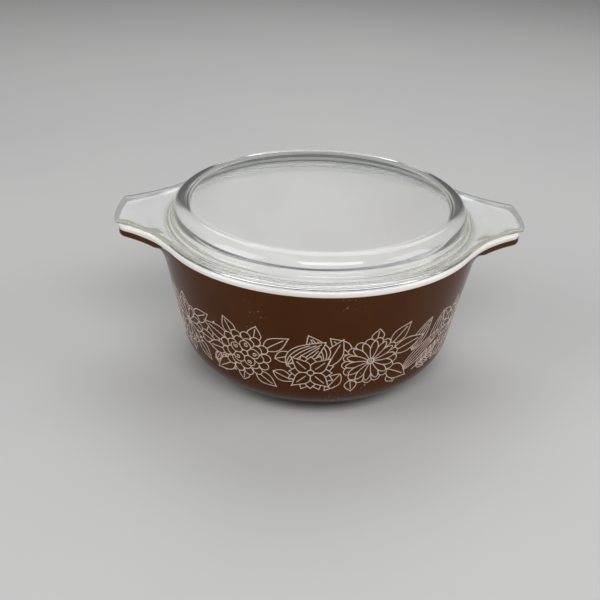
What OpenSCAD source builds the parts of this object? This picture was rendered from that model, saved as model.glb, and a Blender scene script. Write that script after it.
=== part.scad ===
// Round covered casserole: an opal-glass dish with two tab handles, a fired
// enamel coat on its outside, and a clear pressed-glass lid with its own tabs.
// Millimetres. +Z is up, +X runs along the handles, and the origin is on the
// table under the middle of the foot.

/* [Bowl] */
// Radius of the outer wall, measured at height wall_ref_z
wall_ref_r = 95; // [85:0.5:105]
// Height at which wall_ref_r is measured
wall_ref_z = 35; // [33:1:50]
// Lean of the wall, in degrees from upright
draft = 11; // [6:0.5:14]
// Thickness of the glass wall
wall = 4.8; // [4:0.1:6]
// Radius of the upper, tighter bend between wall and base
bend_r = 30; // [24:1:36]
// Radius of the lower, slacker bend that runs into the base
belly_r = 60; // [50:1:70]
// Where one bend passes into the other, in degrees below level
bend_split = 55; // [48:1:62]

/* [Foot] */
// Outer radius of the foot ring where it stands on the table
foot_r = 63; // [60:0.5:66]
// Width of the foot ring
foot_w = 5.5; // [4:0.5:8]
// Depth of the recess inside the foot ring
foot_recess = 1.2; // [0.5:0.1:1.6]

/* [Rim] */
// Height of the top of the dish's rim
rim_z = 105; // [104:0.5:110]
// Radius of the rounded rim's section
rim_r = 2.6; // [2.4:0.05:2.9]

/* [Dish handles] */
// Reach of each tab from the middle of the dish
dish_tip = 133.7; // [129:0.1:135.5]
// Half of the width between the centres of a tab's two corners
dish_tab_half = 13.2; // [10:0.2:18]
// Radius of a tab's corners
dish_corner = 10; // [7:0.5:12]
// Radius of the flare from a tab's side into the rim
dish_flare = 96; // [70:1:100]
// Thickness of a tab
dish_tab_t = 8; // [6.5:0.1:9]
// Drop of a tab's top face below the rim
dish_tab_drop = 0.4; // [0.3:0.1:1]
// Radius of the fillet under a tab
web_r = 11; // [9:1:18]

/* [Enamel] */
// Thickness of the fired enamel coat
coat = 0.35; // [0.25:0.05:0.5]
// Bare glass left between the coat and the top of the rim
bare_rim = 3.6; // [3.4:0.1:5]
// Height at which the coat ends above the foot
coat_foot_z = 2.8; // [2.4:0.1:4]

/* [Lid] */
// Gap between the rim and the seated lid
seat_gap = 0.2; // [0.15:0.05:0.3]
// Radius of the lid's flange
flange_r = 108.6; // [106.5:0.1:110]
// Thickness of the flange
flange_t = 4.2; // [3.6:0.1:4.8]
// Radius at the foot of the lid's wall, before the fillet
lid_wall_r = 99; // [98.8:0.1:101]
// Radius of the fillet between the flange and the lid's wall
lid_fillet = 2.3; // [1:0.1:2.4]
// Radius at the edge of the raised top, before rounding
plateau_r = 98.6; // [97:0.1:98.8]
// Height of the raised top's edge above the flange's top face
plateau_h = 11.9; // [11.7:0.1:14]
// Radius of the rounded shoulder between the wall and the raised top
shoulder_r = 9.5; // [6:0.1:9.6]
// Rise of the crown from the edge of the raised top to its middle
crown = 0.3; // [0.2:0.1:1]
// Thickness of the glass in the raised top
lid_t = 4.4; // [4:0.1:5]
// Radius at which the underside of the raised top starts to slope down
under_r = 86.5; // [80:0.5:87.5]
// Radius at the bottom of that slope
knee_r = 95.4; // [94:0.1:95.6]
// Height of that slope
knee_drop = 5.3; // [4:0.1:7]
// Depth of the locating lip inside the rim
lip_h = 3; // [2:0.1:3.4]
// Width of the locating lip
lip_w = 5; // [3.5:0.1:5.6]
// Clearance between the locating lip and the mouth of the dish
lip_gap = 1.4; // [1:0.1:2]

/* [Lid handles] */
// Reach of each tab from the middle of the lid
lid_tip = 136.2; // [132:0.1:139]
// Half of the width between the centres of a tab's two corners
lid_tab_half = 17.2; // [13:0.2:22]
// Radius of a tab's corners
lid_corner = 5; // [4:0.5:8]
// Radius of the flare from a tab's side into the flange
lid_flare = 90; // [65:1:95]
// Height of a tab's underside above the flange's
lid_tab_rise = 1.2; // [0.6:0.1:1.6]

/* [Hidden] */
$fn = 96;

// Steps in each rounded corner of a section or an outline
arc_steps = 10;
// How far one shape runs into another where they are joined
bite = 1;
// How deep the fillet under a tab dips into the wall, so that their faces cross
web_dip = 0.6;
// Radii that round the two ends of the slope under the raised top
under_round = 7.5;
knee_round = 2.5;
// Radius that rounds the bottom of the locating lip, and the lean of its outer face
lip_round = 0.8;
lip_lean = 0.4;
// Flat left in the middle of the flange's rounded edge
edge_flat = 0.2;

rim_mid_z = rim_z - rim_r;
tab_top_z = rim_z - dish_tab_drop;
tab_low_z = tab_top_z - dish_tab_t;
coat_top_z = rim_z - bare_rim;
rim_mid_r = wall_r(rim_mid_z) - coat - wall / cos(draft) + rim_r;

// Middles of the two bends in the bowl's section
belly_z = belly_r;
bend_z = belly_z - (belly_r - bend_r) * sin(bend_split);
bend_mid_r = wall_r(bend_z) - bend_r / cos(draft);
belly_mid_r = bend_mid_r - (belly_r - bend_r) * cos(bend_split);

// Middle of the fillet under a tab
web_z = tab_low_z - web_r;
web_mid_r = wall_r(web_z) + web_r / cos(draft) - web_dip;

flange_low_z = rim_z + seat_gap;
flange_top_z = flange_low_z + flange_t;
plateau_z = flange_top_z + plateau_h;
mouth_r = rim_mid_r - rim_r;
lip_r = mouth_r - lip_gap;

// Outer radius of the enamelled wall at a height
function wall_r(z) = wall_ref_r + (z - wall_ref_z) * tan(draft);

// Point at an angle on a circle
function polar(r, a) = [r * cos(a), r * sin(a)];

// Points along an arc about a centre
function arc(c, r, a0, a1) =
    [for (i = [0:arc_steps]) c + polar(r, a0 + (a1 - a0) * i / arc_steps)];

// Corner b of the path a-b-c, rounded to radius r
function rounded(a, b, c, r) =
    let (
        u = (a - b) / norm(a - b),
        v = (c - b) / norm(c - b),
        half = acos(u * v) / 2,
        m = b + (u + v) / norm(u + v) * r / sin(half),
        pu = b + u * r / tan(half) - m,
        pv = b + v * r / tan(half) - m,
        a0 = atan2(pu[1], pu[0]),
        turn = atan2(pv[1], pv[0]) - a0,
        sweep = turn > 180 ? turn - 360 : turn < -180 ? turn + 360 : turn
    )
    arc(m, r, a0, a0 + sweep);

// Section of the bowl from the axis to height top, with its outer face
// moved outwards by grow
function bowl_section(grow, top) = concat(
    [[0, belly_z - belly_r - grow]],
    arc([belly_mid_r, belly_z], belly_r + grow, -90, -bend_split),
    arc([bend_mid_r, bend_z], bend_r + grow, -bend_split, -draft),
    [[wall_r(top) + grow / cos(draft), top], [0, top]]
);

// Angle at which a tab's flare meets the round edge of radius edge_r
function flare_angle(tip, half, corner, flare, edge_r) =
    let (
        c = tip - corner,
        f = edge_r + flare
    )
    asin(half / c) + acos((f * f + c * c - pow(flare + corner, 2)) / (2 * f * c));

// Upper half of a tab's outline, from the middle of its tip to the round edge
function half_tab(tip, half, corner, flare, edge_r, grow) =
    let (
        tip_a = asin(half / (tip - corner)),
        c = polar(tip - corner, tip_a),
        end_a = flare_angle(tip, half, corner, flare, edge_r),
        f = polar(edge_r + flare, end_a),
        join_a = atan2(f[1] - c[1], f[0] - c[0])
    )
    concat(
        arc([0, 0], tip + grow, 0, tip_a),
        arc(c, corner + grow, tip_a, join_a),
        arc(f, flare - grow, join_a + 180, end_a + 180)
    );

// Outline of a tab, closed inside the round edge at radius root_r
module tab_outline(tip, half, corner, flare, edge_r, root_r, grow) {
    upper = half_tab(tip, half, corner, flare, edge_r, grow);
    end_a = flare_angle(tip, half, corner, flare, edge_r);
    lower = [for (i = [len(upper) - 1:-1:1]) [upper[i][0], -upper[i][1]]];
    polygon(concat(upper, arc([0, 0], root_r, end_a, -end_a), lower));
}

// Puts a shape at both ends of the handle axis
module both_ends() {
    children();
    mirror([1, 0, 0])
        children();
}

// Outline of a dish tab, moved outwards by grow
module dish_tab_outline(grow) {
    tab_outline(dish_tip, dish_tab_half, dish_corner, dish_flare,
                wall_r(rim_mid_z) - coat, rim_mid_r, grow);
}

// Section of the fillet under a tab, closed inside the wall
module web_section(grow) {
    low = web_z + web_r * sin(draft);
    inset = wall / 2;
    polygon(concat(
        [[wall_r(low) - inset, low], [wall_r(tab_low_z + bite) - inset, tab_low_z + bite],
         [web_mid_r, tab_low_z + bite]],
        arc([web_mid_r, web_z], web_r - grow, 90, 180 - draft)
    ));
}

// A dish tab and the fillet under it, with faces moved outwards by grow
module dish_tab(grow) {
    translate([0, 0, tab_low_z - grow])
        linear_extrude(dish_tab_t + grow)
            dish_tab_outline(grow);
    intersection() {
        translate([0, 0, web_z])
            linear_extrude(tab_low_z + bite - web_z)
                dish_tab_outline(grow);
        rotate_extrude()
            web_section(grow);
    }
}

// The dish's outside without its foot and rim, moved outwards by grow
module dish_outside(grow) {
    rotate_extrude()
        polygon(bowl_section(grow, rim_mid_z));
    both_ends()
        dish_tab(grow);
}

// The space for food
module dish_inside() {
    rotate_extrude()
        polygon(bowl_section(-coat - wall, rim_z + bite));
}

// The ring that the dish stands on
module foot_ring() {
    rotate_extrude()
        polygon([
            [foot_r - foot_w, 0],
            [foot_r, 0],
            [foot_r + 1, foot_recess + bite * 2],
            [foot_r - foot_w - 1, foot_recess + bite * 2]
        ]);
}

module dish() {
    color([0.93, 0.92, 0.9]) {
        difference() {
            union() {
                difference() {
                    dish_outside(-coat);
                    translate([0, 0, -bite])
                        cylinder(r = foot_r - foot_w, h = foot_recess + bite);
                }
                foot_ring();
            }
            dish_inside();
        }
        rotate_extrude()
            translate([rim_mid_r, rim_mid_z])
                circle(r = rim_r);
    }
}

module enamel_coat() {
    color([0.27, 0.15, 0.09])
        difference() {
            intersection() {
                dish_outside(0);
                translate([0, 0, coat_foot_z])
                    cylinder(r = dish_tip + bite, h = coat_top_z - coat_foot_z);
            }
            dish_outside(-coat);
            rotate_extrude()
                translate([rim_mid_r, rim_mid_z])
                    circle(r = rim_r);
        }
}

// Section of the lid: underside of the top, wall, lip, flange, then the upper side
function lid_section() =
    let (
        foot = [lid_wall_r, flange_top_z],
        head = [plateau_r, plateau_z],
        under_z = plateau_z - lid_t,
        under = [under_r, under_z],
        knee = [knee_r, under_z - knee_drop],
        lip_low = flange_low_z - lip_h,
        lip_in = [lip_r - lip_w, lip_low],
        lip_out = [lip_r - lip_lean, lip_low],
        edge = (flange_t - edge_flat) / 2,
        middle_low = [0, under_z + crown],
        middle_top = [0, plateau_z + crown]
    )
    concat(
        [middle_low],
        rounded(middle_low, under, knee, under_round),
        rounded(under, knee, lip_in, knee_round),
        rounded(knee, lip_in, lip_out, lip_round),
        rounded(lip_in, lip_out, [lip_r, flange_low_z], lip_round),
        [[lip_r, flange_low_z]],
        rounded([lip_r, flange_low_z], [flange_r, flange_low_z], [flange_r, flange_top_z], edge),
        rounded([flange_r, flange_low_z], [flange_r, flange_top_z], foot, edge),
        rounded([flange_r, flange_top_z], foot, head, lid_fillet),
        rounded(foot, head, middle_top, shoulder_r),
        [middle_top]
    );

module lid() {
    color([0.82, 0.85, 0.85, 0.4]) {
        rotate_extrude()
            polygon(lid_section());
        both_ends()
            translate([0, 0, flange_low_z + lid_tab_rise])
                linear_extrude(flange_t - lid_tab_rise)
                    tab_outline(lid_tip, lid_tab_half, lid_corner, lid_flare,
                                flange_r, (lip_r + flange_r) / 2, 0);
    }
}

dish();
enamel_coat();
lid();
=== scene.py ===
"""Covered glass casserole: opal dish, brown enamel, cream line print and clear lid."""

from math import acos, asin, atan2, ceil, cos, hypot, pi, radians, sin, sqrt, tan

import bpy
import numpy
from mathutils import Matrix, Vector


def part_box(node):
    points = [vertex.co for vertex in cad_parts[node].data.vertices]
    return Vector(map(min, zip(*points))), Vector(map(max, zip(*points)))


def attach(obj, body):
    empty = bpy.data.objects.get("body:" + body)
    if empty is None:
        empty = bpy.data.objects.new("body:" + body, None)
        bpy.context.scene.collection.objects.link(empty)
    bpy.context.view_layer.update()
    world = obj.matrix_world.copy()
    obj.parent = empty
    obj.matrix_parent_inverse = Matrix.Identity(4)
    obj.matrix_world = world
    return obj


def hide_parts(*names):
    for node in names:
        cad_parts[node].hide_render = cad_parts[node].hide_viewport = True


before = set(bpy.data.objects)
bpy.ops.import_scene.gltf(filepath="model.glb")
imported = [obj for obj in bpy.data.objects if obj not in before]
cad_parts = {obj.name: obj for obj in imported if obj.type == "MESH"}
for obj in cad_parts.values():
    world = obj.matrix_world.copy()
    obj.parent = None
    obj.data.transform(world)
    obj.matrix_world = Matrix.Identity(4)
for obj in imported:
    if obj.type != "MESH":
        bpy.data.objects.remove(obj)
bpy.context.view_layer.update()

MM = 0.001


def frame_mm(node, corner, axis):
    """One coordinate of a CAD node's box, in millimetres. Corner 0 is the low one."""
    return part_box(node)[corner][axis] / MM


# ---------------------------------------------------------------- sizes, in mm
# Heights and reaches come from the CAD model
RIM_Z = frame_mm("dish", 1, 2)
DISH_TIP = frame_mm("enamel_coat", 1, 0)
COAT_TOP_Z = frame_mm("enamel_coat", 1, 2)
COAT_FOOT_Z = frame_mm("enamel_coat", 0, 2)
LID_TOP_Z = frame_mm("lid", 1, 2)
LID_TIP = frame_mm("lid", 1, 0)
FLANGE_R = frame_mm("lid", 1, 1)
LIP_LOW_Z = frame_mm("lid", 0, 2)

# Bowl. The wall leans out by DRAFT and passes through WALL_REF, a radius and a
# height. It bends in to the base by BEND_R, and past BEND_SPLIT by BELLY_R
COAT = 0.35
WALL = 4.8
DRAFT = radians(11)
WALL_REF = (95.0, 35.0)
BEND_R = 30.0
BELLY_R = 60.0
BEND_SPLIT = radians(55)
FOOT_R = 63.0
FOOT_W = 5.5
FOOT_RECESS = 1.2
FOOT_ROUND = 0.7
FOOT_TOP_Z = 2.4
FOOT_LEAN = 0.5

# The coat's edges: how far each stays inside its CAD box, and the gap to the dish
COAT_TOP_SPARE = 0.15
COAT_FOOT_SPARE = 0.25
COAT_GAP = 0.03

# Rim and dish tabs. A tab's section is fully its own TAB_BLEND out from the rim.
# The web under a tab runs down the wall by WEB_F, or where the tab overhangs
# little by WEB_F_LEAST and WEB_F_SHARE of the overhang. half is half the width
# of a tab's tip between its corners, and corner and flare are the radii of its
# corners and of its root
RIM_R = 2.6
TAB_BLEND = 6.0
TAB_DROP = 0.4
TAB_DROP_RUN = 3.0
TAB_T = 8.0
TAB_EDGE_R = 2.1
TAB_LOW_R = 1.8
RIM_LOW_DROP = 4.1
RIM_LOW_R = 0.7
WEB_F = 13.0
WEB_F_LEAST = 1.6
WEB_F_SHARE = 0.9
DISH_TAB = dict(half=13.2, corner=10.0, flare=96.0)

# Lid. The lip hangs inside the rim. The wall rises from the flange to the edge of
# the flat top, which reaches a share of its crown at each radius. The underside
# slopes down and out from UNDER_R to KNEE_R, and falls from there to the lip
LIP_H = 3.0
LIP_W = 5.0
LIP_GAP = 1.4
LIP_LEAN = 0.4
LIP_ROUND = 0.9
LIP_FILLET = 0.8
FLANGE_T = 4.2
FLANGE_EDGE_R = 1.3
LID_WALL_R = 99.0
LID_FILLET = 2.3
PLATEAU_R = 98.6
SHOULDER_R = 9.5
CROWN = 0.3
CROWN_SHARES = ((80, 0.28), (60, 0.6), (30, 0.9), (10, 1.0), (0, 1.0))
LID_T = 4.4
UNDER_FLAT_R = 74.0
UNDER_FLAT_RISE = 0.1
UNDER_R = 86.5
UNDER_ROUND = 7.5
KNEE_R = 95.4
KNEE_DROP = 5.3
KNEE_ROUND = 2.5
LID_TAB_RISE = 1.2
LID_TAB_RISE_FROM = 3.0
LID_TAB_RISE_TO = 16.0
LID_TAB_EDGE_R = 1.0
LID_TAB = dict(half=17.2, corner=5.0, flare=90.0)

# Heights that follow from these
BEND_Z = BELLY_R - (BELLY_R - BEND_R) * sin(BEND_SPLIT)
RIM_MID_Z = RIM_Z - RIM_R
FLANGE_LOW_Z = LIP_LOW_Z + LIP_H
FLANGE_TOP_Z = FLANGE_LOW_Z + FLANGE_T
HEAD_Z = LID_TOP_Z - CROWN
UNDER_Z = HEAD_Z - LID_T


# ---------------------------------------------------------------- plane geometry
def wall_r(z, grow=0.0):
    """Outer radius of the wall at a height, moved out by grow."""
    return WALL_REF[0] + (z - WALL_REF[1]) * tan(DRAFT) + grow / cos(DRAFT)


BEND_MID_R = wall_r(BEND_Z) - BEND_R / cos(DRAFT)
BELLY_MID_R = BEND_MID_R - (BELLY_R - BEND_R) * cos(BEND_SPLIT)
RIM_MID_R = wall_r(RIM_MID_Z, -COAT - WALL) + RIM_R
RIM_OUT_R = RIM_MID_R + RIM_R
LIP_R = RIM_MID_R - RIM_R - LIP_GAP


def lerp(a, b, t):
    """The value a share t of the way from a to b."""
    return a + (b - a) * t


def smooth(t):
    """Smooth step from 0 to 1."""
    t = min(1.0, max(0.0, t))
    return t * t * (3 - 2 * t)


def arc(mid, r, a0, a1, steps):
    """Points on an arc, both ends included."""
    turns = [lerp(a0, a1, i / steps) for i in range(steps + 1)]
    return [(mid[0] + r * cos(a), mid[1] + r * sin(a)) for a in turns]


def line(a, b, steps, last=False):
    """Points from a towards b, with b itself only if last."""
    count = steps + 1 if last else steps
    return [(lerp(a[0], b[0], i / steps), lerp(a[1], b[1], i / steps)) for i in range(count)]


def rounded(a, b, c, r, steps):
    """Corner b of the path a-b-c as an arc of radius r."""
    u, v = Vector(a) - Vector(b), Vector(c) - Vector(b)
    u, v = u.normalized(), v.normalized()
    half = acos(max(-1.0, min(1.0, u.dot(v)))) / 2
    mid = Vector(b) + (u + v).normalized() * (r / sin(half))
    start = Vector(b) + u * (r / tan(half)) - mid
    end = Vector(b) + v * (r / tan(half)) - mid
    a0 = atan2(start.y, start.x)
    turn = (atan2(end.y, end.x) - a0 + pi) % (2 * pi) - pi
    return arc(mid, r, a0, a0 + turn, steps)


def bezier(p0, p1, p2, p3, steps):
    """Points on a cubic curve, both ends included."""
    points = []
    for i in range(steps + 1):
        t = i / steps
        w = ((1 - t) ** 3, 3 * t * (1 - t) ** 2, 3 * t * t * (1 - t), t ** 3)
        points.append(tuple(sum(k * p[j] for k, p in zip(w, (p0, p1, p2, p3))) for j in (0, 1)))
    return points


# ---------------------------------------------------------------- outline of a round rim with tabs
ROUND_STEP = 2.2


def quarter(tip, half, corner, flare, edge_r):
    """One quarter of the outline, from the tip to straight across the handles.

    Each sample is (x, y, outward x, outward y, angle on the round edge).
    """
    c_r = tip - corner
    tip_a = asin(half / c_r)
    c = (c_r * cos(tip_a), c_r * sin(tip_a))
    f_r = edge_r + flare
    end_a = tip_a + acos((f_r ** 2 + c_r ** 2 - (flare + corner) ** 2) / (2 * f_r * c_r))
    f = (f_r * cos(end_a), f_r * sin(end_a))
    join_a = atan2(f[1] - c[1], f[0] - c[0])
    # Each part is its middle, radius, first and last angle, outward side and step
    parts = [
        ((0, 0), tip, 0.0, tip_a, 1, 1.5),
        (c, corner, tip_a, join_a, 1, 0.8),
        (f, flare, join_a + pi, end_a + pi, -1, 1.3),
    ]
    total = sum(abs(a1 - a0) * r for _, r, a0, a1, _, _ in parts)
    samples, gone = [], 0.0
    for mid, r, a0, a1, side, step in parts:
        steps = ceil(abs(a1 - a0) * r / step)
        for i in range(steps):
            a = lerp(a0, a1, i / steps)
            run = gone + abs(a - a0) * r
            samples.append((mid[0] + r * cos(a), mid[1] + r * sin(a),
                            side * cos(a), side * sin(a), end_a * run / total))
        gone += abs(a1 - a0) * r
    steps = ceil((pi / 2 - end_a) * edge_r / ROUND_STEP)
    for i in range(steps + 1):
        a = lerp(end_a, pi / 2, i / steps)
        samples.append((edge_r * cos(a), edge_r * sin(a), cos(a), sin(a), a))
    return samples


def outline(tip, edge_r, half, corner, flare):
    """The whole closed outline, counter-clockwise from the +X tip."""
    first = quarter(tip, half, corner, flare, edge_r)
    second = [(-x, y, -nx, ny, pi - a) for x, y, nx, ny, a in reversed(first[:-1])]
    upper = first + second
    lower = [(x, -y, nx, -ny, 2 * pi - a) for x, y, nx, ny, a in reversed(upper[1:-1])]
    return upper + lower


# ---------------------------------------------------------------- meshes
def loft(name, columns):
    """A closed mesh from columns that each run from one pole to the other.

    All columns hold the same number of points, and share their first and last.
    """
    rows = len(columns[0]) - 2
    count = len(columns)
    verts = [columns[0][0]]
    for column in columns:
        verts.extend(column[1:-1])
    verts.append(columns[0][-1])
    last = len(verts) - 1
    faces = []
    for j in range(count):
        a, b = 1 + j * rows, 1 + (j + 1) % count * rows
        faces.append((0, b, a))
        for i in range(rows - 1):
            faces.append((a + i, b + i, b + i + 1, a + i + 1))
        faces.append((a + rows - 1, b + rows - 1, last))
    return mesh_object(name, verts, faces)


def ring_loft(name, columns):
    """A closed ring-shaped mesh from columns that are each a closed loop."""
    rows, count = len(columns[0]), len(columns)
    verts = [p for column in columns for p in column]
    faces = []
    for j in range(count):
        a, b = j * rows, (j + 1) % count * rows
        for i in range(rows):
            k = (i + 1) % rows
            faces.append((a + i, b + i, b + k, a + k))
    return mesh_object(name, verts, faces)


def mesh_object(name, verts, faces):
    """A smooth-shaded object from points in millimetres."""
    mesh = bpy.data.meshes.new(name)
    mesh.from_pydata([(x * MM, y * MM, z * MM) for x, y, z in verts], [], faces)
    mesh.validate()
    mesh.shade_smooth()
    obj = bpy.data.objects.new(name, mesh)
    bpy.context.scene.collection.objects.link(obj)
    return obj


# ---------------------------------------------------------------- the dish
def bowl_bends(grow, steps=12):
    """Section points (r, z) from the foot of the wall round both bends to the base."""
    upper = arc((BEND_MID_R, BEND_Z), BEND_R + grow, -DRAFT, -BEND_SPLIT, steps)
    lower = arc((BELLY_MID_R, BELLY_R), BELLY_R + grow, -BEND_SPLIT, -pi / 2, steps)
    return upper + lower[1:]


def at_angle(a, r, z):
    """The place of a section point at an angle round the object."""
    return (r * cos(a), r * sin(a), z)


def tab_side(sample, grow):
    """Points of a dish column's outer side, from its widest point to the wall under the tab."""
    x, y, nx, ny, a = sample
    tab = smooth((hypot(x, y) - RIM_OUT_R) / TAB_BLEND)
    low_z = lerp(RIM_Z - RIM_LOW_DROP, RIM_Z - TAB_DROP - TAB_T, tab) - grow * tab
    low_r = lerp(RIM_LOW_R, TAB_LOW_R, tab)
    out = grow * tab
    points = [(x + nx * out, y + ny * out, RIM_MID_Z)]
    points += [(x + nx * (out + low_r * (cos(t) - 1)), y + ny * (out + low_r * (cos(t) - 1)),
                low_z + low_r * (1 + sin(t)))
               for t in (-pi / 2 * i / 5 for i in range(6))]
    edge = points[-1]
    wall = at_angle(a, wall_r(low_z, grow), low_z)
    d = max(0.0, (edge[0] - wall[0]) * cos(a) + (edge[1] - wall[1]) * sin(a))
    fall = min(WEB_F, WEB_F_SHARE * d + WEB_F_LEAST)
    for share, z in bezier((1, low_z), (0.25, low_z), (0, low_z - 0.4 * fall),
                           (0, low_z - fall), 12)[1:]:
        wx, wy, _ = at_angle(a, wall_r(z, grow), z)
        points.append((lerp(wx, edge[0], share), lerp(wy, edge[1], share), z))
    return points


def dish_outer(sample, grow):
    """A dish column's whole outside, from its widest point to the middle of the base."""
    a = sample[4]
    side = tab_side(sample, grow)
    bends = bowl_bends(grow)
    top = (wall_r(side[-1][2], grow), side[-1][2])
    wall = line(top, bends[0], 12)[1:]
    return side + [at_angle(a, r, z) for r, z in wall + bends]


def dish_inside():
    """Section points (r, z) from the middle of the dish's floor up to the rim's crest."""
    bends = bowl_bends(-COAT - WALL)
    floor_z = bends[-1][1]
    points = [(0, floor_z)] + line((8, floor_z), bends[-1], 3) + bends[::-1]
    points += line(bends[0], (RIM_MID_R - RIM_R, RIM_MID_Z), 10)[1:]
    return points + arc((RIM_MID_R, RIM_MID_Z), RIM_R, pi, pi / 2, 6)


def foot_ring():
    """Section points (r, z) round the foot ring and on to the middle of the base."""
    out_top = (FOOT_R + FOOT_LEAN * FOOT_TOP_Z, FOOT_TOP_Z)
    out_low, in_low = (FOOT_R, 0), (FOOT_R - FOOT_W, 0)
    in_top = (FOOT_R - FOOT_W - FOOT_LEAN * FOOT_RECESS, FOOT_RECESS)
    points = rounded(out_top, out_low, in_low, FOOT_ROUND, 4)
    points += rounded(out_low, in_low, in_top, FOOT_ROUND, 4)
    return points + [(in_top[0] - 1, FOOT_RECESS), (30, FOOT_RECESS), (0, FOOT_RECESS)]


def dish_column(sample, inside, foot):
    """A dish column: the floor's middle, up the inside, over the rim and down to the base."""
    x, y, nx, ny, a = sample
    points = [at_angle(a, r, z) for r, z in inside]
    tab = smooth((hypot(x, y) - RIM_OUT_R) / TAB_BLEND)
    top_z = RIM_Z - TAB_DROP * tab
    edge_r = lerp(RIM_R, TAB_EDGE_R, tab)
    ex, ey = x - nx * edge_r, y - ny * edge_r
    bx, by, _ = at_angle(a, RIM_MID_R, 0)
    gap = hypot(ex - bx, ey - by)
    if gap > 1:
        for i in range(1, 7):
            t = i / 6
            z = lerp(RIM_Z, top_z, smooth(t * gap / TAB_DROP_RUN))
            points.append((lerp(bx, ex, t), lerp(by, ey, t), z))
    steps = 6 if gap > 1 else 12
    for i in range(1, steps):
        t = pi / 2 * (1 - i / steps)
        points.append((ex + nx * edge_r * cos(t), ey + ny * edge_r * cos(t),
                       top_z - edge_r + edge_r * sin(t)))
    outer = dish_outer(sample, -COAT)
    points += [point for point in outer if point[2] >= FOOT_TOP_Z]
    return points + [at_angle(a, r, z) for r, z in foot]


def make_dish():
    samples = outline(DISH_TIP, RIM_OUT_R, **DISH_TAB)
    inside, foot = dish_inside(), foot_ring()
    return loft("dish_glass", [dish_column(s, inside, foot) for s in samples])


# ---------------------------------------------------------------- the enamel coat
def below(points, z):
    """The part of a path that lies below a height, starting exactly there."""
    for i, (p, q) in enumerate(zip(points, points[1:])):
        if p[2] >= z > q[2]:
            t = (p[2] - z) / (p[2] - q[2])
            return [tuple(lerp(u, v, t) for u, v in zip(p, q))] + points[i + 1:]
    return points


def above(points, z):
    """The part of a falling path that lies above a height, ending exactly there."""
    for i, (p, q) in enumerate(zip(points, points[1:])):
        if p[2] > z >= q[2]:
            t = (p[2] - z) / (p[2] - q[2])
            return points[:i + 1] + [tuple(lerp(u, v, t) for u, v in zip(p, q))]
    return points


def resample(points, shares):
    """Points at shares of a path's length."""
    runs = [0.0]
    for p, q in zip(points, points[1:]):
        runs.append(runs[-1] + sqrt(sum((u - v) ** 2 for u, v in zip(p, q))))
    found, i = [], 0
    for share in shares:
        run = share * runs[-1]
        while i < len(points) - 2 and runs[i + 1] < run:
            i += 1
        t = (run - runs[i]) / max(1e-9, runs[i + 1] - runs[i])
        found.append(tuple(lerp(u, v, min(1.0, t)) for u, v in zip(points[i], points[i + 1])))
    return found


def coat_column(sample, rows=64):
    """A closed loop through the coat: down its outer face and back up its inner one.

    A sprayed coat's edges are slightly wavy, and it thins out towards them. Its
    rows stand closest at the top, where the tabs bend it most.
    """
    a = sample[4]
    ripple = 0.1 * sin(9 * a + 1) + 0.07 * sin(23 * a) + 0.05 * sin(41 * a + 2)
    top = COAT_TOP_Z - COAT_TOP_SPARE + ripple * 0.6
    low = COAT_FOOT_Z + COAT_FOOT_SPARE + ripple
    shares = [(i / rows) ** 1.35 for i in range(rows + 1)]
    sides = []
    for grow in (0.0, COAT_GAP - COAT):
        path = below(dish_outer(sample, grow), top)
        sides.append(resample(above(path, low), shares))
    outer, inner = sides
    column = []
    for i, (p, q) in enumerate(zip(outer, inner)):
        share = smooth(min(i / 4, (rows - i) / 2) + 0.12)
        column.append(tuple(lerp(v, u, share) for u, v in zip(p, q)))
    return column + inner[::-1]


def make_coat():
    samples = outline(DISH_TIP, RIM_OUT_R, **DISH_TAB)
    return ring_loft("enamel_shell", [coat_column(s) for s in samples])


# ---------------------------------------------------------------- the lid
def lid_underside():
    """Section points (r, z) of the lid's underside, from its middle to the flange."""
    flat = (UNDER_FLAT_R, UNDER_Z + UNDER_FLAT_RISE)
    under, knee = (UNDER_R, UNDER_Z), (KNEE_R, UNDER_Z - KNEE_DROP)
    tip_in, tip_out = (LIP_R - LIP_W, LIP_LOW_Z), (LIP_R - LIP_LEAN, LIP_LOW_Z)
    lip_top, flange = (LIP_R, FLANGE_LOW_Z), (LIP_R + LIP_W, FLANGE_LOW_Z)
    points = [(0, UNDER_Z + CROWN)] + line((12, UNDER_Z + CROWN), flat, 5, True)
    points += rounded(flat, under, knee, UNDER_ROUND, 8)
    points += rounded(under, knee, tip_in, KNEE_ROUND, 8)
    points += rounded(knee, tip_in, tip_out, LIP_ROUND, 4)
    points += rounded(tip_in, tip_out, lip_top, LIP_ROUND, 4)
    return points + rounded(tip_out, lip_top, flange, LIP_FILLET, 4)


def lid_topside():
    """Section points (r, z) of the lid's top, from the flange up and in to its middle."""
    foot, head = (LID_WALL_R, FLANGE_TOP_Z), (PLATEAU_R, HEAD_Z)
    points = rounded((FLANGE_R, FLANGE_TOP_Z), foot, head, LID_FILLET, 6)
    points += rounded(foot, head, (0, LID_TOP_Z), SHOULDER_R, 18)
    return points + [(r, HEAD_Z + CROWN * share) for r, share in CROWN_SHARES]


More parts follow.
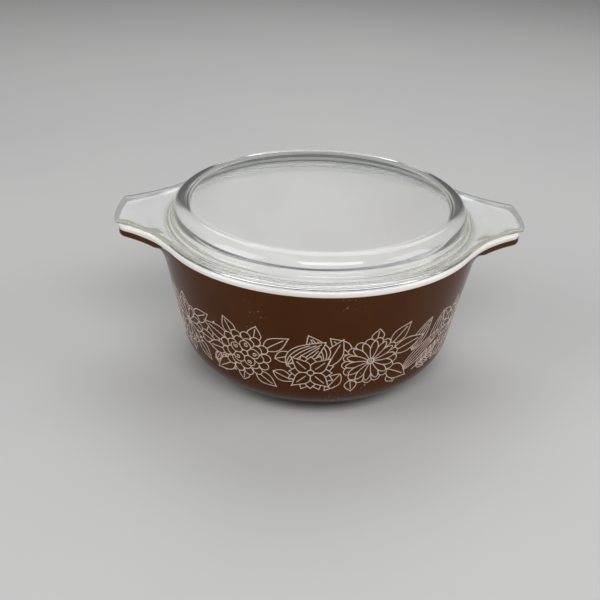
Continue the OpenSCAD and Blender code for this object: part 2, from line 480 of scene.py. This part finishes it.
def lid_column(sample, underside, topside):
    """A lid column: the underside's middle, out to the edge and back over the top."""
    x, y, nx, ny, a = sample
    points = [at_angle(a, r, z) for r, z in underside]
    tab = smooth((hypot(x, y) - FLANGE_R) / TAB_BLEND)
    edge_low_z = FLANGE_LOW_Z + LID_TAB_RISE * tab
    edge_r = lerp(FLANGE_EDGE_R, LID_TAB_EDGE_R, tab)
    bx, by, _ = points[-1]
    ex, ey = x - nx * edge_r, y - ny * edge_r
    gap = hypot(ex - bx, ey - by)
    rise_from, rise_to = min(0.5 * gap, LID_TAB_RISE_FROM), min(0.9 * gap, LID_TAB_RISE_TO)
    for i in range(1, 8):
        run = lerp(0, rise_from, i / 3) if i < 4 else lerp(rise_from, rise_to, (i - 3) / 4)
        z = lerp(FLANGE_LOW_Z, edge_low_z, smooth((i - 3) / 4))
        points.append((lerp(bx, ex, run / gap), lerp(by, ey, run / gap), z))
    for corner_z, start in ((edge_low_z + edge_r, -pi / 2), (FLANGE_TOP_Z - edge_r, 0)):
        for i in range(5):
            t = start + pi / 2 * i / 4
            points.append((ex + nx * edge_r * cos(t), ey + ny * edge_r * cos(t),
                           corner_z + edge_r * sin(t)))
    rx, ry, _ = at_angle(a, topside[0][0], 0)
    for i in range(1, 6):
        t = i / 6
        points.append((lerp(ex, rx, t), lerp(ey, ry, t), FLANGE_TOP_Z))
    return points + [at_angle(a, r, z) for r, z in topside]


def make_lid():
    samples = outline(LID_TIP, FLANGE_R, **LID_TAB)
    underside, topside = lid_underside(), lid_topside()
    return loft("lid_glass", [lid_column(s, underside, topside) for s in samples])


# ---------------------------------------------------------------- the flower print
# The print is drawn flat, in millimetres round the dish and up the wall, and
# each shape hides what lies behind it. Its repeats then wrap round the coat, with
# the drawing's foot BAND_FOOT down the wall from the coat's top. A line of ink is
# INK_W wide where it is sunk in the coat, and INK_TOP of that where it stands proud.
BAND_R = 98.0
BAND_FOOT = 75.0
REPEATS = 3
PERIOD = 2 * pi * BAND_R / REPEATS
PRINT_TURN = radians(-92.1)
INK_STEP = 0.4
INK_W = 0.62
INK_PROUD = 0.06
INK_SUNK = 0.05
INK_TOP = 0.8
RIB_STEPS = 14
SPIRAL_STEPS = 24
SHARP_TURN = 40


def petal(length, width, blunt=0.6, lean=1.0, bend=0.0, steps=20):
    """A closed petal or leaf from (0, 0) up to (0, length), bent sideways."""
    left, right = [], []
    for i in range(steps + 1):
        t = (1 - cos(pi * i / steps)) / 2
        half = width / 2 * max(0.0, sin(pi * t ** lean)) ** blunt
        mid = bend * t * t
        left.append((mid - half, length * t))
        right.append((mid + half, length * t))
    return left + right[-2:0:-1]


def rib(length, bend=0.0, start=0.0, end=0.8, side=0.0, width=0.0, blunt=1.0, lean=1.0):
    """A line inside a petal, along its middle or a share of its half width to one side."""
    points = []
    for i in range(RIB_STEPS + 1):
        t = start + (end - start) * i / RIB_STEPS
        half = width / 2 * max(0.0, sin(pi * t ** lean)) ** blunt
        points.append((bend * t * t + side * half, length * t))
    return points


def circle_line(r, steps=28):
    """Points round a circle, without its first again."""
    return [(r * cos(2 * pi * i / steps), r * sin(2 * pi * i / steps)) for i in range(steps)]


def spiral(x, y, r, turns, side):
    """A curl that winds in to (x, y)."""
    points = []
    for i in range(SPIRAL_STEPS + 1):
        t = i / SPIRAL_STEPS
        a = pi / 2 + side * 2 * pi * turns * t
        reach = r * (1 - 0.8 * t)
        points.append((x + side * reach * cos(a), y + reach * sin(a)))
    return points


def put(points, at, turn):
    """Points moved so that their +Y points along turn, in degrees from straight up."""
    c, s = cos(radians(turn)), sin(radians(turn))
    return [(at[0] + x * c + y * s, at[1] - x * s + y * c) for x, y in points]


def shape(fill, at, turn, inner=()):
    """A filled outline with the lines drawn inside it."""
    edge = put(fill, at, turn)
    return dict(fill=edge, lines=[edge + edge[:1]] + [put(p, at, turn) for p in inner])


def on_ring(at, r, turn):
    """The place r away from a centre, on the side that turn points to."""
    return (at[0] + r * sin(radians(turn)), at[1] + r * cos(radians(turn)))


def ring(at, count, r0, length, width, first=0.0, blunt=0.6, lean=1.0, inner=()):
    """Petals that stand round a centre."""
    shapes = []
    for i in range(count):
        turn = first + 360 * i / count
        fill = petal(length, width, blunt, lean)
        shapes.append(shape(fill, on_ring(at, r0, turn), turn, inner))
    return shapes


def leaf(at, turn, length, width, bend=0.0, stripes=0, blunt=1.12, lean=0.8):
    """A pointed leaf with a midrib, or with several stripes from its foot."""
    fill = petal(length, width, blunt, lean, bend)
    inner = [] if stripes else [rib(length, bend)]
    for k in range(stripes):
        side = 2 * (k + 1) / (stripes + 1) - 1
        end = 0.9 - 0.25 * abs(side)
        inner.append(rib(length, bend, 0.04, end, side, width, blunt, lean))
    return shape(fill, at, turn, inner)


def rosette(at, turn):
    """A round flower whose five middle petals hold a curl each."""
    curl = [spiral(0.9, 5.2, 1.7, 1.1, 1)]
    return ([shape(circle_line(2.3), at, 0)]
            + ring(at, 5, 1.8, 8.6, 7.6, turn, 0.55, 1.1, curl)
            + ring(at, 9, 5.6, 7.6, 7.4, turn + 14, 0.5, 1.2)
            + ring(at, 13, 10.4, 7.4, 6.6, turn, 0.5, 1.2))


def star(at, turn):
    """A flower with four long pointed petals over shorter ones."""
    return ([shape(circle_line(2.2), at, 0)]
            + ring(at, 4, 1.2, 16.4, 9.6, turn, 1.35, 0.62, [rib(16.4, 0, 0.2, 0.66)])
            + ring(at, 4, 3.0, 10.6, 8.6, turn + 45, 1.1, 0.75)
            + ring(at, 8, 6.0, 9.4, 6.6, turn + 22.5, 1.1, 0.75))


def daisy(at, turn, petals=14, length=14.6, width=4.7):
    """A flower of narrow petals with a scalloped edge behind them."""
    return ([shape(circle_line(1.9), at, 0, [circle_line(0.8) + [(0.8, 0)]])]
            + ring(at, petals, 1.7, length, width, turn, 0.55, 1.45)
            + ring(at, petals + 3, length - 3.4, 7.4, 6.2, turn + 7, 0.5, 1.2))


def at_deg(deg, up):
    """A place in the band, from degrees round the dish and millimetres up."""
    return (radians(deg) * BAND_R, up)


def fern(at, turn, length, pairs):
    """A stem with pointed leaflets in pairs."""
    shapes = [leaf(on_ring(at, length * 0.84, turn), turn, length * 0.26, 4.2)]
    for k in range(pairs):
        share = 0.12 + 0.72 * k / (pairs - 1)
        size = 10.5 - 4.5 * share
        for side in (-1, 1):
            shapes.append(leaf(on_ring(at, length * share, turn), turn + side * 42,
                               size, 3.9, side * 0.8))
    stem = [(0, 0), (0, length)]
    shapes.append(dict(fill=[], lines=[put(stem, at, turn)]))
    return shapes


def garland():
    """One repeat of the print, front shapes first.

    A leaf is given by its place, turn, length and width, and where it isn't
    plain by its bend, stripes and bluntness.
    """
    shapes = rosette(at_deg(-26, 22.5), 8)
    shapes += star(at_deg(-1, 15), 45)
    shapes += daisy(at_deg(21, 22.5), 4)
    shapes += daisy(at_deg(-56, 26), 0, 11, 12.5, 5.0)
    shapes += [
        leaf(at_deg(-9.5, 19), 38, 31, 15, 5, 5, 0.9),
        leaf(at_deg(3.5, 24), -14, 23, 13, -4, 4, 0.9),
        leaf(at_deg(5, 20), 16, 24, 11, 2),
        leaf(at_deg(-15, 13), 112, 15, 9, 1),
        leaf(at_deg(-14, 24), 70, 15, 9, -1),
        leaf(at_deg(-18, 29), 46, 20, 10, 2),
        leaf(at_deg(-22, 34), 12, 13, 9),
        leaf(at_deg(-30, 34), -24, 15, 9.5),
        leaf(at_deg(-32, 28), -62, 22, 11, -2),
        leaf(at_deg(-34, 20), -96, 17, 10),
        leaf(at_deg(-31, 13), -128, 20, 10, 1),
        leaf(at_deg(-27, 8), -170, 9, 8),
        leaf(at_deg(-22, 10), 130, 17, 9.5, -1),
        leaf(at_deg(10, 14), -146, 17, 9.5),
        leaf(at_deg(14, 8), 172, 10, 8),
        leaf(at_deg(13, 30), -44, 19, 10),
        leaf(at_deg(28, 13), 116, 21, 12, 2),
        leaf(at_deg(29, 26), 70, 25, 11.5, 2),
        leaf(at_deg(28, 33), 38, 19, 10),
        leaf(at_deg(22, 38), 4, 10, 8),
        leaf(at_deg(-51, 16), 140, 17, 9.5),
        leaf(at_deg(-49, 24), 98, 18, 10),
        leaf(at_deg(-51, 33), 60, 19, 10),
        leaf(at_deg(-57, 38), 4, 10, 8),
        leaf(at_deg(-61, 17), -150, 16, 9.5),
        leaf(at_deg(-57, 12), 178, 11, 8),
        leaf(at_deg(-61, 34), -40, 14, 9),
        leaf(at_deg(36, 7), 48, 36, 11, 3, 3, 0.9),
        leaf(at_deg(39, 22), 22, 25, 11, 2, 3, 0.9),
        leaf(at_deg(50, 20), 8, 25, 10, 1, 2, 0.9),
    ]
    shapes += fern(at_deg(42, 4), 66, 34, 6)
    shapes += fern(at_deg(-42, 7), 80, 16, 3)
    shapes += [
        leaf(at_deg(-42, 16), 12, 24, 11, 1),
        leaf(at_deg(-40, 14), 160, 13, 9),
        leaf(at_deg(30, 8), 150, 10, 8),
        leaf(at_deg(56, 14), 150, 13, 8),
    ]
    return shapes


def inside(points, fill):
    """Which points lie in a closed outline."""
    x, y = points[:, 0, None], points[:, 1, None]
    x0, y0 = fill[:, 0], fill[:, 1]
    x1, y1 = numpy.roll(x0, -1), numpy.roll(y0, -1)
    rise = numpy.where(y1 == y0, 1e-9, y1 - y0)
    hit = ((y0 > y) != (y1 > y)) & (x < x0 + (y - y0) / rise * (x1 - x0))
    return hit.sum(axis=1) % 2 == 1


def evenly(points, step):
    """The same line with points a step apart."""
    line = numpy.array(points, float)
    runs = numpy.concatenate([[0], numpy.cumsum(numpy.hypot(*numpy.diff(line, axis=0).T))])
    count = max(2, int(ceil(runs[-1] / step)) + 1)
    at = numpy.linspace(0, runs[-1], count)
    return numpy.stack([numpy.interp(at, runs, line[:, k]) for k in (0, 1)], axis=1)


def corners_apart(points):
    """A line cut wherever it turns sharply."""
    pieces, start = [], 0
    for i in range(1, len(points) - 1):
        a = numpy.subtract(points[i], points[i - 1])
        b = numpy.subtract(points[i + 1], points[i])
        cosine = a @ b / max(1e-12, hypot(*a) * hypot(*b))
        if cosine < cos(radians(SHARP_TURN)):
            pieces.append(points[start:i + 1])
            start = i
    return pieces + [points[start:]]


def drawn_lines(shapes):
    """The lines that show, where each shape hides what lies behind it."""
    fronts, shown = [], []
    for item in shapes:
        for whole in item["lines"]:
            for part in corners_apart(whole):
                if len(part) < 2:
                    continue
                dots = evenly(part, INK_STEP)
                clear = numpy.ones(len(dots), bool)
                for fill, low, high in fronts:
                    if (dots.max(0) < low).any() or (dots.min(0) > high).any():
                        continue
                    clear &= ~inside(dots, fill)
                start = None
                for i, free in enumerate(list(clear) + [False]):
                    if free and start is None:
                        start = i
                    elif not free and start is not None:
                        if i - start > 2:
                            shown.append(dots[start:i])
                        start = None
        if item["fill"]:
            fill = numpy.array(item["fill"])
            for shift in (-PERIOD, 0, PERIOD):
                moved = fill + (shift, 0)
                fronts.append((moved, moved.min(0), moved.max(0)))
    return shown


def wall_path():
    """The enamelled wall's section from the coat's top down.

    Each row is the run along it, radius, height and outward normal.
    """
    top = (wall_r(COAT_TOP_Z), COAT_TOP_Z)
    bends = bowl_bends(0.0, 24)
    points = line(top, bends[0], 12) + bends
    path, run = [], 0.0
    for i, (r, z) in enumerate(points):
        before, after = points[max(0, i - 1)], points[min(len(points) - 1, i + 1)]
        dr, dz = after[0] - before[0], after[1] - before[1]
        size = hypot(dr, dz)
        run += hypot(r - before[0], z - before[1])
        path.append((run, r, z, -dz / size, dr / size))
    return numpy.array(path)


def ink_ribbon(dots, turn, path, verts, faces):
    """Wraps one drawn line round the wall as a thin raised ribbon."""
    along = numpy.gradient(dots, axis=0)
    along /= numpy.maximum(1e-9, numpy.hypot(*along.T))[:, None]
    dots = dots.copy()
    dots[0] -= along[0] * INK_W / 2
    dots[-1] += along[-1] * INK_W / 2
    side = numpy.stack([-along[:, 1], along[:, 0]], axis=1) * INK_W / 2
    first = len(verts)
    corners = ((1, -INK_SUNK), (INK_TOP, INK_PROUD), (-INK_TOP, INK_PROUD), (-1, -INK_SUNK))
    lines = []
    for share, proud in corners:
        spot = dots + side * share
        run = BAND_FOOT - spot[:, 1]
        r, z, nr, nz = (numpy.interp(run, path[:, 0], path[:, k]) for k in (1, 2, 3, 4))
        a = spot[:, 0] / BAND_R + PRINT_TURN + turn
        r, z = r + nr * proud, z + nz * proud
        lines.append(numpy.stack([r * numpy.cos(a), r * numpy.sin(a), z], axis=1))
    for row in range(len(dots)):
        verts.extend(tuple(points[row]) for points in lines)
        if row:
            a, b = first + row * 4 - 4, first + row * 4
            for k in range(4):
                m = (k + 1) % 4
                faces.append((a + k, a + m, b + m, b + k))
    end = len(verts) - 4
    faces.append((first + 3, first + 2, first + 1, first))
    faces.append((end, end + 1, end + 2, end + 3))


def make_print():
    path = wall_path()
    lines = drawn_lines(garland())
    verts, faces = [], []
    for k in range(REPEATS):
        for dots in lines:
            ink_ribbon(dots, 2 * pi * k / REPEATS, path, verts, faces)
    return mesh_object("flower_print", verts, faces)


# ---------------------------------------------------------------- node helpers
def material(name):
    """A new material, its node tree and its Principled node."""
    mat = bpy.data.materials.new(name)
    mat.use_nodes = True
    return mat, mat.node_tree, mat.node_tree.nodes["Principled BSDF"]


def add(tree, kind, **values):
    """A node with some of its inputs or settings set."""
    node = tree.nodes.new("ShaderNode" + kind)
    for key, value in values.items():
        if key in node.inputs:
            node.inputs[key].default_value = value
        else:
            setattr(node, key, value)
    return node


def noise(tree, scale, detail=4.0):
    """Noise over the object's own coordinates, in metres."""
    place = add(tree, "TexCoord")
    node = add(tree, "TexNoise", Scale=scale, Detail=detail)
    tree.links.new(place.outputs["Object"], node.inputs["Vector"])
    return node.outputs["Fac"]


def ramp(tree, source, low, high):
    """A colour ramp over source between two stops, each a place and a colour."""
    node = add(tree, "ValToRGB")
    for element, (place_at, colour) in zip(node.color_ramp.elements, (low, high)):
        element.position = place_at
        element.color = (*colour, 1)
    tree.links.new(source, node.inputs["Fac"])
    return node.outputs["Color"]


def mottle(tree, scale, shades):
    """A colour that wanders between two shades."""
    return ramp(tree, noise(tree, scale), (0.3, shades[0]), (0.7, shades[1]))


def patches(tree, scale, low, high):
    """White where noise is above high and black where it is below low."""
    return ramp(tree, noise(tree, scale, 2), (low, BLACK), (high, WHITE))


def math_node(tree, operation, first, second):
    """A Math node over a socket and either a second socket or a number."""
    node = add(tree, "Math", operation=operation)
    tree.links.new(first, node.inputs[0])
    if isinstance(second, int):
        node.inputs[1].default_value = second
    else:
        tree.links.new(second, node.inputs[1])
    return node.outputs[0]


def mix_shaders(tree, share, first, second):
    """The second shader in the place of the first where share is 1."""
    node = add(tree, "MixShader")
    for socket, source in zip(node.inputs, (share, first, second)):
        tree.links.new(source, socket)
    return node.outputs[0]


def bump(tree, source, strength, distance):
    """A normal from source as height, with distance in metres."""
    node = add(tree, "Bump", Strength=strength, Distance=distance)
    tree.links.new(source, node.inputs["Height"])
    return node.outputs["Normal"]


def span(tree, source, low, high):
    """Maps 0-1 onto low-high."""
    node = add(tree, "MapRange")
    node.inputs["To Min"].default_value = low
    node.inputs["To Max"].default_value = high
    tree.links.new(source, node.inputs["Value"])
    return node.outputs["Result"]


# ---------------------------------------------------------------- materials
BLACK = (0, 0, 0)
WHITE = (1, 1, 1)
OPAL = ((0.83, 0.80, 0.765), (0.89, 0.87, 0.84))
ENAMEL = ((0.063, 0.018, 0.0027), (0.078, 0.0235, 0.004))
CHIP = (0.42, 0.33, 0.27)
INK = ((0.66, 0.51, 0.42), (0.78, 0.63, 0.54))
FLOOR = ((0.53, 0.53, 0.53), (0.56, 0.56, 0.555))
GLASS = (0.855, 0.866, 0.873)
GLASS_SHADOW = (0.655, 0.672, 0.685)
# Colour of the painted glow that stands in for light trapped in the lid's thick glass
PAINTED_GLASS_GLOW = (0.45, 0.445, 0.38)
GLOW_AFTER_BOUNCES = 4


def opal_material():
    """Smooth white glass, a little warm and uneven."""
    mat, tree, shader = material("opal_glass")
    tree.links.new(mottle(tree, 22, OPAL), shader.inputs["Base Color"])
    tree.links.new(span(tree, noise(tree, 60), 0.08, 0.2), shader.inputs["Roughness"])
    tree.links.new(bump(tree, noise(tree, 45, 2), 0.12, 0.0006), shader.inputs["Normal"])
    shader.inputs["IOR"].default_value = 1.5
    return mat


def enamel_material():
    """Glossy brown enamel with tiny pale chips where it is worn."""
    mat, tree, shader = material("brown_enamel")
    spots = patches(tree, 700, 0.68, 0.71)
    worn = patches(tree, 28, 0.56, 0.62)
    mix = add(tree, "Mix", data_type="RGBA")
    tree.links.new(math_node(tree, "MULTIPLY", spots, worn), mix.inputs[0])
    tree.links.new(mottle(tree, 30, ENAMEL), mix.inputs[6])
    mix.inputs[7].default_value = (*CHIP, 1)
    tree.links.new(mix.outputs[2], shader.inputs["Base Color"])
    tree.links.new(span(tree, noise(tree, 90), 0.1, 0.22), shader.inputs["Roughness"])
    tree.links.new(bump(tree, noise(tree, 160, 3), 0.15, 0.0003), shader.inputs["Normal"])
    shader.inputs["IOR"].default_value = 1.45
    shader.inputs["Specular IOR Level"].default_value = 0.12
    return mat


def glass_material():
    """Clear glass that lets the lamps' light through to what it covers.

    Rays still inside it after several bounces show a painted olive-grey glow, the
    olive grey of thick glass, as an emission standing in for the light trapped there,
    since the renderer stops following them and would show black.
    """
    mat, tree, shader = material("clear_glass")
    shader.inputs["Base Color"].default_value = (*GLASS, 1)
    shader.inputs["IOR"].default_value = 1.48
    shader.inputs["Transmission Weight"].default_value = 1
    tree.links.new(span(tree, noise(tree, 50), 0.0, 0.02), shader.inputs["Roughness"])
    tree.links.new(bump(tree, noise(tree, 30, 2), 0.1, 0.0006), shader.inputs["Normal"])
    path = add(tree, "LightPath")
    late = math_node(tree, "GREATER_THAN", path.outputs["Ray Depth"], GLOW_AFTER_BOUNCES)
    direct = math_node(tree, "LESS_THAN", path.outputs["Diffuse Depth"], 1)
    trapped = math_node(tree, "MULTIPLY", late, direct)
    # Painted glow: an emission shown where rays are still bouncing inside the glass
    painted_glow = add(tree, "Emission", Color=(*PAINTED_GLASS_GLOW, 1), Strength=1.0)
    seen = mix_shaders(tree, trapped, shader.outputs[0], painted_glow.outputs[0])
    clear = add(tree, "BsdfTransparent", Color=(*GLASS_SHADOW, 1))
    shown = mix_shaders(tree, path.outputs["Is Shadow Ray"], seen, clear.outputs[0])
    tree.links.new(shown, tree.nodes["Material Output"].inputs["Surface"])
    mat.cycles.emission_sampling = "NONE"
    return mat


def ink_material():
    """Cream ink, less glossy than the enamel."""
    mat, tree, shader = material("print_ink")
    tree.links.new(mottle(tree, 120, INK), shader.inputs["Base Color"])
    tree.links.new(span(tree, noise(tree, 200), 0.25, 0.4), shader.inputs["Roughness"])
    return mat


def floor_material():
    """A plain pale grey floor."""
    mat, tree, shader = material("floor")
    tree.links.new(mottle(tree, 3, FLOOR), shader.inputs["Base Color"])
    shader.inputs["Roughness"].default_value = 0.7
    shader.inputs["Specular IOR Level"].default_value = 0.3
    return mat


# ---------------------------------------------------------------- put the object together
def place(obj, mat, body, node, slot):
    """Gives a piece its material and body, and hides the CAD node that it replaces."""
    obj.data.materials.append(mat)
    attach(obj, body)
    if node:
        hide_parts(node)


place(make_dish(), opal_material(), "dish", "dish", "opal_glass")
place(make_coat(), enamel_material(), "dish", "enamel_coat", "brown_enamel")
place(make_print(), ink_material(), "dish", None, "print_ink")
place(make_lid(), glass_material(), "lid", "lid", "clear_glass")


# ---------------------------------------------------------------- stage, lights and camera
# In metres and degrees. The camera stands in front of the dish and looks down at it
FLOOR_HALF = 3.0
WORLD_GREY = 0.12
CAMERA_AT = (0, -0.5618, 0.3457)
CAMERA_TURN = -2.1
CAMERA_PITCH = 28.48
CAMERA_YAW = -1.16
CAMERA_ROLL = 1.7
CAMERA_LENS = 54


def make_floor():
    mesh = bpy.data.meshes.new("floor")
    s = FLOOR_HALF
    mesh.from_pydata([(-s, -s, 0), (s, -s, 0), (s, s, 0), (-s, s, 0)], [], [(0, 1, 2, 3)])
    floor = bpy.data.objects.new("floor", mesh)
    bpy.context.scene.collection.objects.link(floor)
    mesh.materials.append(floor_material())


def soft_light(name, place_at, aim, size, watts):
    """A rectangular lamp that faces the point aim."""
    data = bpy.data.lights.new(name, "AREA")
    data.shape = "RECTANGLE"
    data.size, data.size_y = size
    data.energy = watts
    lamp = bpy.data.objects.new(name, data)
    lamp.location = place_at
    direction = Vector(aim) - Vector(place_at)
    lamp.rotation_mode = "QUATERNION"
    lamp.rotation_quaternion = direction.to_track_quat("-Z", "Y")
    bpy.context.scene.collection.objects.link(lamp)


def make_world():
    world = bpy.data.worlds.new("studio")
    world.use_nodes = True
    background = world.node_tree.nodes["Background"]
    background.inputs["Color"].default_value = (WORLD_GREY, WORLD_GREY, WORLD_GREY, 1)
    bpy.context.scene.world = world


def make_camera():
    """The camera, turned about the dish's axis after it is aimed."""
    turn = Matrix.Rotation(radians(CAMERA_TURN), 3, "Z")
    pitch, yaw, roll = radians(CAMERA_PITCH), radians(CAMERA_YAW), radians(CAMERA_ROLL)
    forward = Vector((sin(yaw) * cos(pitch), cos(yaw) * cos(pitch), -sin(pitch)))
    right = Vector((cos(yaw), -sin(yaw), 0))
    up = right.cross(forward)
    tilted_right = right * cos(roll) + up * sin(roll)
    tilted_up = up * cos(roll) - right * sin(roll)
    axes = [turn @ v for v in (tilted_right, tilted_up, -forward)]
    data = bpy.data.cameras.new("camera")
    data.lens = CAMERA_LENS
    data.sensor_width = 36
    camera = bpy.data.objects.new("camera", data)
    matrix = Matrix(axes).transposed().to_4x4()
    matrix.translation = turn @ Vector(CAMERA_AT)
    camera.matrix_world = matrix
    bpy.context.scene.collection.objects.link(camera)
    bpy.context.scene.camera = camera


make_floor()
make_world()
soft_light("top", (0.1, 0.85, 1.25), (0, 0, 0.1), (1.2, 1.0), 9)
soft_light("left", (-1.2, -0.5, 0.9), (0, 0, 0.05), (0.9, 0.9), 8)
soft_light("right", (1.3, -0.4, 0.8), (0, 0, 0.05), (0.8, 0.9), 7)
soft_light("front", (0.2, -1.15, 1.35), (0, 0, 0.05), (1.2, 0.6), 14)
make_camera()
bpy.context.scene.view_settings.view_transform = "Standard"
